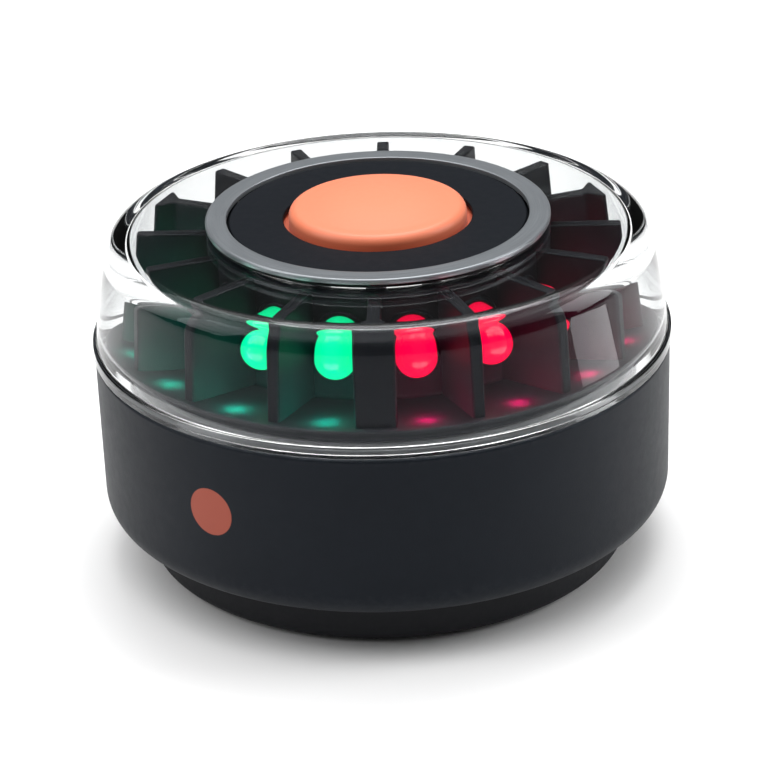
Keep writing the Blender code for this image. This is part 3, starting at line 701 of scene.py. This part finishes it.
def makeCap():
    p = {"flange": 30.0, "bottom": 6.4, "shelf": 9.0, "spigot": 28.6, "top": 12.4, "well": 26.6, "floor": 8.6,
         "ringOuter": 25.0, "ringInner": 12.2, "ringTop": 7.1, "recess": 7.3, "gap": 0.3,
         "slot": (20, 2.6, 1.4),
         "sealInner": 28.95, "sealOuter": 29.95, "sealTop": 10.25, "sealBottom": 9.35}
    outer, inner = p["ringOuter"] + p["gap"], p["ringInner"] - p["gap"]
    body = turned("capBody", [
        (0, p["floor"]), (p["well"], p["floor"], 0.6), (p["well"], p["top"], 0.3), (p["spigot"], p["top"], 0.5),
        (p["spigot"], p["shelf"], 0.25), (p["flange"], p["shelf"], 0.35), (p["flange"], p["bottom"], 0.5),
        (outer, p["bottom"], 0.12), (outer, p["recess"], 0.1), (inner, p["recess"], 0.1),
        (inner, p["bottom"], 0.12), (0, p["bottom"]),
    ], capPlastic, "battery_cap", ["battery_cap"], closed=False, steps=plain)
    # The coin slot is cut up from below; its ends are nearly half-round.
    length, width, depth = p["slot"]
    slot = boxCorners(length / 2, width / 2, width * 0.45)
    cutOut(body, [slabArrays(slot, p["bottom"] - 2, p["bottom"] + depth, 0.2)])
    keeper = ringSection(p["ringInner"], p["ringOuter"], p["ringTop"], p["bottom"], (0.12, 0.12, 0.15, 0.15))
    turned("keeperRing", keeper, turnedSteel, "battery_cap", ["cap_steel_plate"])
    seal = ringSection(p["sealInner"], p["sealOuter"], p["sealTop"], p["sealBottom"], (0.35,) * 4)
    turned("capSeal", seal, sealRubber, "battery_cap", ["cap_seal"])


def makeFoot():
    p = {"radius": 31.6, "top": 6.1, "base": 0.6, "round": 2.3, "padRadius": 28.1, "padTop": 0.9, "gap": 0.3,
         "magnets": 6, "magnetRadius": 5.0, "magnetCircle": 19.0, "magnetLow": 2.9, "magnetThick": 3.0,
         "ribs": 8, "ribPitch": 3.0, "ribDepth": 0.25}
    mouth, ceiling = p["padRadius"] + p["gap"], p["padTop"] + p["gap"]
    body = turned("footBody", [
        (0, p["top"]), (p["radius"], p["top"], 0.45), (p["radius"], p["base"], p["round"]),
        (mouth, p["base"], 0.15), (mouth, ceiling, 0.1), (0, ceiling),
    ], footRubber, "magnetic_foot", ["foot_shell"], closed=False, arcSteps=8)
    wellRadius, wellTop, wellLow = p["magnetRadius"] + p["gap"], p["top"] + 3, p["magnetLow"] - p["gap"]
    well = [(0, wellTop), (wellRadius, wellTop), (wellRadius, wellLow, 0.2), (0, wellLow)]
    magnetTop = p["magnetLow"] + p["magnetThick"]
    disc = [(0, magnetTop), (p["magnetRadius"], magnetTop, 0.3), (p["magnetRadius"], p["magnetLow"], 0.3),
            (0, p["magnetLow"])]
    pockets = []
    for i in range(p["magnets"]):
        spot = np.array(fromBow(p["magnetCircle"], (i + 0.5) * 2 * math.pi / p["magnets"], 0)) * mm
        points, faces = turnedArrays(well, False, 64)
        pockets.append((points + spot, faces))
        points, faces = turnedArrays(disc, False, 64)
        meshPiece(f"magnet{i + 1}", points + spot, faces, nickel, "magnetic_foot", [f"foot_magnet_{i + 1}"])
    cutOut(body, pockets)
    # The pad's underside is ribbed with shallow rings.
    ribs = []
    for k in range(p["ribs"]):
        r, depth = p["padRadius"] - 2.4 - p["ribPitch"] * k, p["ribDepth"]
        ribs += [(r + 0.5, 0, 0.08), (r + 0.3, depth, 0.08), (r - 0.3, depth, 0.08), (r - 0.5, 0, 0.08)]
    pad = [(0, p["padTop"]), (p["padRadius"], p["padTop"], 0.15), (p["padRadius"], 0, 0.35), *ribs, (0, 0)]
    turned("footPad", pad, footRubber, "magnetic_foot", ["foot_pad"], closed=False, steps=plain)


makeBody()
makeCap()
makeFoot()
print("body, cap and foot made")


# Light crown
crownPlan = {
    "floor": 34.1, "floorTop": 31.1, "floorThick": 1.4, "drum": 22.0, "drumInner": 20.3, "boss": 20.4,
    "bossTop": 44.3, "finTop": 42.6, "finOuter": 31.0, "finLow": 32.4, "finThick": 1.6, "flareStart": 29.0,
    "flareWidth": 6.0, "flared": (0, 5, 11), "skirtOuter": 32.2, "skirtInner": 30.8, "skirt": 25.9,
    "plateTop": 41.7, "plateBottom": 40.5, "recess": 13.4, "stemHole": 3.5, "ledge": 16.2,
    "ledgeTop": 33.3, "ledgeThick": 1.5, "collarInner": 2.62, "collarOuter": 3.35,
}


def makeCrown():
    p = crownPlan
    under, ledgeLow = p["floorTop"] - p["floorThick"], p["ledgeTop"] - p["ledgeThick"]
    shell = turnedArrays([
        (p["boss"], p["bossTop"], 0.2), (p["boss"], p["finTop"], 0.15), (p["drum"], p["finTop"], 0.2),
        (p["drum"], p["floorTop"], 0.5), (p["floor"], p["floorTop"], 0.3), (p["floor"], under, 0.2),
        (p["skirtOuter"], under, 0.2), (p["skirtOuter"], p["skirt"], 0.2), (p["skirtInner"], p["skirt"], 0.2),
        (p["skirtInner"], under, 0.2), (p["drumInner"], under, 0.2),
        (p["drumInner"], ledgeLow, 0.1), (p["ledge"], ledgeLow, 0.2), (p["ledge"], p["ledgeTop"], 0.2),
        (p["drumInner"], p["ledgeTop"], 0.1), (p["drumInner"], p["plateBottom"], 0.2),
        (p["stemHole"], p["plateBottom"], 0.15), (p["stemHole"], p["plateTop"], 0.15),
        (p["recess"], p["plateTop"], 0.2), (p["recess"], p["bossTop"], 0.2),
    ], True)
    surfaces = [shell]
    half, root, tip = p["finThick"] / 2, p["drum"] - 0.8, p["finOuter"]
    straight = [(root, -half, 0), (tip, -half, 0.3), (tip, half, 0.3), (root, half, 0)]
    wide = p["flareWidth"] / 2
    spread = [(root, -half, 0), (p["flareStart"], -half, 0.8), (tip, -wide, 0.3), (tip, wide, 0.3),
              (p["flareStart"], half, 0.8), (root, half, 0)]
    for i in range(sectorCount):
        corners = spread if i in p["flared"] else straight
        points, faces = slabArrays(corners, p["floorTop"] - 0.4, p["finTop"] - 0.05, 0.16, (p["flareStart"], 0))
        # The outer end leans outwards on the way down: x grows with the depth below the fin's top.
        depth = (p["finTop"] * mm - points[:, 2]) / ((p["finTop"] - p["floorTop"]) * mm)
        outer = np.clip((points[:, 0] - p["flareStart"] * mm) / ((tip - p["flareStart"]) * mm), 0, 1)
        points[:, 0] += outer * np.clip(depth, 0, 1) * (p["finLow"] - tip) * mm
        turn = Matrix.Rotation(bowAngle + i * sectorStep, 4, "Z")
        surfaces.append((placed(points, turn), faces))
    # A raised collar stands round each lamp where it leaves the drum.
    inner, outer = p["collarInner"], p["collarOuter"]
    collar = [(inner, 3.9, 0.1), (outer - 0.3, 3.9, 0.2), (outer, 3.35, 0.1), (outer, 2.6, 0), (inner, 2.6, 0)]
    for i in range(sectorCount):
        points, faces = turnedArrays(collar, True, 40, arcSteps=4)
        surfaces.append((placed(points, ledMatrix(i)), faces))
    points, faces = joined(surfaces)
    meshPiece("crownShell", points, faces, crownPlastic, "housing", ["light_crown"])


def ledMatrix(i):
    # The lamp's own Z points outwards from the drum; its flange lies at the back radius.
    angle = (i + 0.5) * sectorStep
    along = fromBow(1, angle, 0)
    turn = along.to_track_quat("Z", "Y").to_matrix().to_4x4()
    return Matrix.Translation(fromBow(ledPlan["back"], angle, ledPlan["height"]) * mm) @ turn


makeCrown()
print("crown made")


# Lamps
def lampName(i):
    # Red from the bow round port, white astern, green up starboard.
    if i < 5:
        return "red", i + 1
    if i >= sectorCount - 5:
        return "green", sectorCount - i
    return "white", i - 4


def makeLamps():
    p = ledPlan
    domeZ = p["tip"] - p["radius"] - p["back"]
    bullet = [(0, domeZ + p["radius"]), *arcRow(domeZ, p["radius"], 84, 0, 11),
              (p["radius"], 1.1, 0.12), (p["flange"], 1.0, 0.12), (p["flange"], 0, 0.15), (0, 0)]
    epoxies = {"red": redEpoxy, "green": greenEpoxy, "white": whiteEpoxy}
    for i in range(sectorCount):
        color, number = lampName(i)
        points, faces = turnedArrays(bullet, False, 48, arcSteps=4)
        name = f"{color}Lamp{number}"
        points = placed(points, ledMatrix(i))
        meshPiece(name, points, faces, epoxies[color], "housing", [f"led_{color}_{number}"])


def makeLegs():
    # Each lamp's two legs leave its flange, bend down and stand on the board.
    p = {"spread": 1.27, "elbow": 16.0, "foot": 15.6, "sink": 0.2, "radius": 0.25}
    t = np.linspace(0, 1, 12)[:, None]
    surfaces = []
    for i in range(sectorCount):
        angle = (i + 0.5) * sectorStep
        for side in (-p["spread"], p["spread"]):
            across = fromBow(side, angle + math.pi / 2, 0)
            start = fromBow(ledPlan["back"], angle, ledPlan["height"]) + across
            elbow = fromBow(p["elbow"], angle, ledPlan["height"]) + across * 0.9
            foot = fromBow(p["foot"], angle, boardTop - p["sink"]) + across * 0.8
            path = (1 - t) ** 2 * np.array(start) + 2 * t * (1 - t) * np.array(elbow) + t * t * np.array(foot)
            surfaces.append(tubeArrays(path * mm, p["radius"] * mm, 8))
    points, faces = joined(surfaces)
    meshPiece("lampLegs", points, faces, nickel, "housing")


makeLamps()
makeLegs()
print("lamps made")


# Top: ring, disc and button
def makeTop():
    p = {"ringOuter": 22.1, "ringInner": 19.4, "ringTop": 45.8, "ringBottom": 45.1, "ringLip": 0.35,
         "gasketOuter": 21.85, "gasketInner": 19.85, "gasketTop": 44.97, "gasketBottom": 44.62,
         "discRadius": 19.1, "discTop": 45.4, "discBottom": 44.6, "discHole": 12.1}
    turned("trimRing", [
        (p["ringInner"], p["ringTop"] - 0.02, 0.12), (p["ringInner"] + p["ringLip"], p["ringTop"], 0.1),
        (p["ringOuter"], p["ringTop"], 0.28), (p["ringOuter"], p["ringBottom"], 0.1),
        (p["ringInner"], p["ringBottom"], 0.1),
    ], satinSilver, "housing", ["trim_ring"], steps=fine)
    gasket = ringSection(p["gasketInner"], p["gasketOuter"], p["gasketTop"], p["gasketBottom"],
                         (0.1, 0.15, 0.15, 0.1))
    turned("ringGasket", gasket, sealRubber, "housing", ["ring_gasket"])
    disc = ringSection(p["discHole"], p["discRadius"], p["discTop"], p["discBottom"], (0.2, 0.2, 0.15, 0.15))
    turned("topDisc", disc, discRubber, "housing", ["top_disc"])


def makeButton():
    # The cap's crown is a shallow bulge, z = top - 0.9 crown (r / dome)^2, that ends in a rounded edge.
    p = {"radius": 11.4, "top": cadHigh.z / mm, "edge": 1.7, "crown": 0.75, "flange": 13.0, "flangeTop": 44.3,
         "flangeBottom": 43.4, "stem": 3.0, "stemBottom": 40.9}
    dome = p["radius"] - p["edge"]
    bulge = [(r, p["top"] - p["crown"] * (r / dome) ** 2 * 0.9) for r in np.linspace(0, dome * 0.94, 9)]
    turned("buttonCap", [
        *bulge, (p["radius"], p["top"] - p["crown"] - 0.02, p["edge"]), (p["radius"], p["flangeTop"], 0.1),
        (p["flange"], p["flangeTop"], 0.15), (p["flange"], p["flangeBottom"], 0.15),
        (p["stem"], p["flangeBottom"], 0.3), (p["stem"], p["stemBottom"], 0.3), (0, p["stemBottom"]),
    ], orangeSilicone, "button", ["button"], closed=False, arcSteps=10)


makeTop()
makeButton()
print("top made")


# Inside
def makeCells():
    p = {"radius": 5.25, "length": 44.5, "pitch": 11.1, "height": 18.6, "contact": 23.8, "nub": 1.0,
         "nubRadius": 1.9, "coilWide": 3.6, "coilNarrow": 2.2, "coilTurn": 22, "coilWire": 0.3}
    radius, body = p["radius"], p["length"] - p["nub"]
    can = [(0, p["length"]), (p["nubRadius"], p["length"], 0.35), (p["nubRadius"], body, 0.2),
           (3.9, body - 0.05, 0.2), (4.1, body + 0.1, 0.1), (radius - 0.15, body + 0.1, 0.3),
           (radius, body - 1.0, 0.4), (radius - 0.1, body - 2.2, 0.3), (radius, body - 3.2, 0.4), (radius, 0, 0.4),
           (4.2, 0, 0.15), (4.0, 0.25, 0.15), (0, 0.2)]
    for i in range(3):
        way = 1 if i % 2 == 0 else -1
        y = (i - 1) * p["pitch"]
        flat = way * (p["contact"] - 0.15 - p["length"])
        turn = Matrix.Rotation(way * math.pi / 2, 4, "Y")
        turn = Matrix.Translation(Vector((flat, y, p["height"])) * mm) @ turn
        points, faces = turnedArrays(can, False, 64)
        meshPiece(f"cell{i + 1}", placed(points, turn), faces, cellSleeve, "housing", [f"battery_cell_{i + 1}"])
        # A conical coil of three and a half turns: it narrows evenly, and lies flat at its wide end.
        t = np.linspace(0, 1, 120)
        coil = p["coilWide"] + (p["coilNarrow"] - p["coilWide"]) * t
        start = -way * (p["contact"] - 0.4)
        x = start + (flat - way * 0.4 - start) * np.clip((t - 0.18) / 0.82, 0, 1)
        turn = p["coilTurn"] * t
        path = np.stack([x, y + coil * np.cos(turn), p["height"] + coil * np.sin(turn)], -1)
        points, faces = tubeArrays(path * mm, p["coilWire"] * mm, 12)
        meshPiece(f"spring{i + 1}", points, faces, nickel, "housing", [f"battery_spring_{i + 1}"])


def makeContacts():
    # Strips with rounded corners at the cells' ends.
    for node in ("contact_positive", "contact_negative", "contact_bridge_1", "contact_bridge_2"):
        low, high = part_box(node)
        low, high = np.array(low) / mm, np.array(high) / mm
        middle, half = (low + high) / 2, (high - low) / 2
        points, faces = slabArrays(boxCorners(half[1], half[2], 0.6), -half[0], half[0], 0.08)
        points = points[:, [2, 0, 1]] + middle * mm
        words = node.split("_")
        name = words[0] + "".join(word.title() for word in words[1:])
        meshPiece(name, points, faces, nickel, "housing", [node])


def makeScrews():
    # Pan heads with a cross recess under the tray, and a fine thread shown by rings.
    p = {"head": 24.1, "shaft": 3.95, "turns": 9, "pitch": 0.4, "crest": 0.98, "root": 0.78, "headRadius": 2.25,
         "crossLength": 1.2, "crossWidth": 0.22}
    head, top = p["head"], p["head"] + p["shaft"]
    thread = []
    for k in range(p["turns"]):
        z = top - 0.25 - p["pitch"] * k
        thread += [(p["crest"], z, 0.03), (p["root"], z - p["pitch"] / 2, 0.03)]
    shape = [(0, top), (0.7, top, 0.1), *thread, (0.95, head, 0.05), (p["headRadius"], head, 0.1),
             (2.2, head - 0.7, 0.5), (1.5, head - 1.45, 0.6), (0, head - 1.5)]
    slot = boxCorners(p["crossLength"], p["crossWidth"], 0.05)
    for i in range(4):
        low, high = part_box(f"crown_screw_{i + 1}")
        spot = np.array([(low.x + high.x) / 2, (low.y + high.y) / 2, 0])
        points, faces = turnedArrays(shape, False, 32, arcSteps=3, edge=0.05)
        name = f"crownScrew{i + 1}"
        screw = meshPiece(name, points + spot, faces, zincSteel, "housing", [f"crown_screw_{i + 1}"])
        bars = []
        for turn in (0.0, math.pi / 2):
            bar, blocks = slabArrays(slot, head - 3, head - 0.75, 0.05)
            bars.append((placed(bar, Matrix.Rotation(turn, 4, "Z")) + spot, blocks))
        cutOut(screw, bars)


def makeBoardParts():
    # Small parts soldered on the board: chip resistors in a ring, and a controller.
    p = {"ring": 12.6, "chip": (0.8, 0.42, 0.5), "controller": (2.4, 2.0, 1.3), "controllerY": 8.4}
    halfX, halfY, height = p["chip"]
    surfaces = []
    for k in range(sectorCount):
        angle = (k + 0.5) * sectorStep
        chip, blocks = slabArrays(boxCorners(halfX, halfY, 0.08), boardTop + 0.02, boardTop + height, 0.06)
        turn = Matrix.Translation(fromBow(p["ring"], angle, 0) * mm) @ Matrix.Rotation(bowAngle + angle, 4, "Z")
        surfaces.append((placed(chip, turn), blocks))
    halfX, halfY, height = p["controller"]
    chip, blocks = slabArrays(boxCorners(halfX, halfY, 0.1), boardTop + 0.05, boardTop + height, 0.15)
    surfaces.append((chip + np.array([0, p["controllerY"], 0]) * mm, blocks))
    points, faces = joined(surfaces)
    meshPiece("boardParts", points, faces, switchPlastic, "housing")


makeCells()
makeContacts()
makeScrews()
makeBoardParts()

# CAD nodes that keep their shape take a finish here.
keptNodes = {
    "led_board": boardMask, "switch_body": switchPlastic, "switch_plunger": orangeSilicone,
    "battery_tray": greyNylon, "wire_negative": blackJacket, "wire_positive": redJacket,
}
for node, shade in keptNodes.items():
    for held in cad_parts[node].material_slots:
        held.material = shade.material
print("inside made")


# Stage, light and camera
stagePlan = {"floorRadius": 4.0, "floorColor": (0.93, 0.93, 0.93), "floorDust": (0.90, 0.90, 0.905),
             "rise": (0.45, 0.95, 0.04, 1.0), "ceiling": 2.1, "ceilingAngle": 85, "ceilingTilt": (-8, -4, 0)}
softboxes = {
    "overhead": {"place": (0.05, 0.30, 0.62), "size": (0.42, 0.22), "power": 2.0},
    "leftWindow": {"place": (-0.55, -0.15, 0.40), "size": (0.30, 0.45), "power": 1.4},
    "rightFill": {"place": (0.60, 0.05, 0.30), "size": (0.25, 0.40), "power": 1.8},
}
cameraPlan = {"azimuth": 2.0, "elevation": 25.0, "roll": -2.1, "distance": 0.42, "lens": 150.2,
              "aim": (0.0, 0.0, 0.0215)}
glowPlan = {"reach": 28.4, "size": 1.0, "power": 0.0008, "poolReach": 30.6, "poolHeight": 31.8, "poolSize": 0.5,
            "poolPower": 0.009, "green": (0.0, 1.0, 0.55), "red": (1.0, 0.0, 0.12)}


def makeFloor():
    p = stagePlan
    shade = Shade("paleFloor", p["floorColor"], 0.55, Specular_IOR_Level=0.2)
    shade.surface(Base_Color=shade.mix(shade.noise(3, 2) * 0.3, p["floorColor"], p["floorDust"]))
    edge = p["floorRadius"] / mm
    points, faces = turnedArrays([(0, 0), (edge, 0), (edge, -20), (0, -20)], False, 96, longest=400)
    meshObject("floor", points, faces, shade, smooth=False)


def makeWorld():
    # What lights the object is dimmer than what is seen behind it, and darker towards the horizon.
    world = bpy.data.worlds.new("softRoom")
    world.use_nodes = True
    nodes = Nodes(world.node_tree)
    seen = nodes.tree.nodes["Background"]
    nodes.set(seen, {"Color": (1, 1, 1, 1)})
    direction = nodes.node("ShaderNodeTexCoord").outputs["Generated"]
    height = nodes.node("ShaderNodeSeparateXYZ", sockets={0: direction}).outputs["Z"]
    room = nodes.node("ShaderNodeBackground", sockets={"Strength": nodes.remap(height, *stagePlan["rise"])})
    path = nodes.node("ShaderNodeLightPath").outputs
    unbounced = nodes.math("LESS_THAN", nodes.math("ADD", path["Diffuse Depth"], path["Glossy Depth"]), 0.5)
    both = nodes.node("ShaderNodeMixShader", sockets={0: unbounced, 1: room.outputs[0], 2: seen.outputs[0]})
    nodes.set(nodes.tree.nodes["World Output"], {"Surface": both.outputs[0]})
    bpy.context.scene.world = world


def makeLight(name, kind, power, color=(1, 1, 1)):
    data = bpy.data.lights.new(name, kind)
    data.energy = power
    data.color = color
    lamp = bpy.data.objects.new(name, data)
    bpy.context.scene.collection.objects.link(lamp)
    return lamp


def makeStudio():
    # One broad, soft lamp straight overhead keeps the floor evenly pale; the softboxes shape the object.
    ceiling = makeLight("ceiling", "SUN", stagePlan["ceiling"])
    ceiling.data.angle = math.radians(stagePlan["ceilingAngle"])
    ceiling.rotation_euler = [math.radians(angle) for angle in stagePlan["ceilingTilt"]]
    aim = Vector((0, 0, 0.03))
    for name, plan in softboxes.items():
        lamp = makeLight(name, "AREA", plan["power"])
        lamp.data.shape = "RECTANGLE"
        lamp.data.size, lamp.data.size_y = plan["size"]
        lamp.location = plan["place"]
        lamp.rotation_euler = (aim - lamp.location).to_track_quat("-Z", "Y").to_euler()


def makeGlow():
    # What each lit lamp throws on the black plastic round it, and a small pool on the floor in front.
    p = glowPlan
    for i in range(sectorCount):
        color, number = lampName(i)
        if color == "white":
            continue
        for name, power, size, reach, height in (
            ("Glow", p["power"], p["size"], p["reach"], ledPlan["height"]),
            ("Pool", p["poolPower"], p["poolSize"], p["poolReach"], p["poolHeight"]),
        ):
            glow = makeLight(f"{color}{name}{number}", "POINT", power, p[color])
            glow.data.shadow_soft_size = size * mm
            glow.location = fromBow(reach, (i + 0.5) * sectorStep, height) * mm
            glow.visible_camera = glow.visible_glossy = glow.visible_transmission = False


def makeCamera():
    p = cameraPlan
    data = bpy.data.cameras.new("camera")
    data.lens = p["lens"]
    data.clip_start = 0.01
    data.clip_end = 20
    camera = bpy.data.objects.new("camera", data)
    bpy.context.scene.collection.objects.link(camera)
    elevation = math.radians(p["elevation"])
    away = fromBow(math.cos(elevation), math.radians(p["azimuth"]), math.sin(elevation))
    camera.location = Vector(p["aim"]) + away * p["distance"]
    look = (-away).to_track_quat("-Z", "Y").to_matrix()
    camera.rotation_euler = (look @ Matrix.Rotation(math.radians(p["roll"]), 3, "Z")).to_euler()
    bpy.context.scene.camera = camera


makeFloor()
makeWorld()
makeStudio()
makeGlow()
makeCamera()
bpy.context.scene.view_settings.view_transform = "Standard"
print("stage, light and camera made")
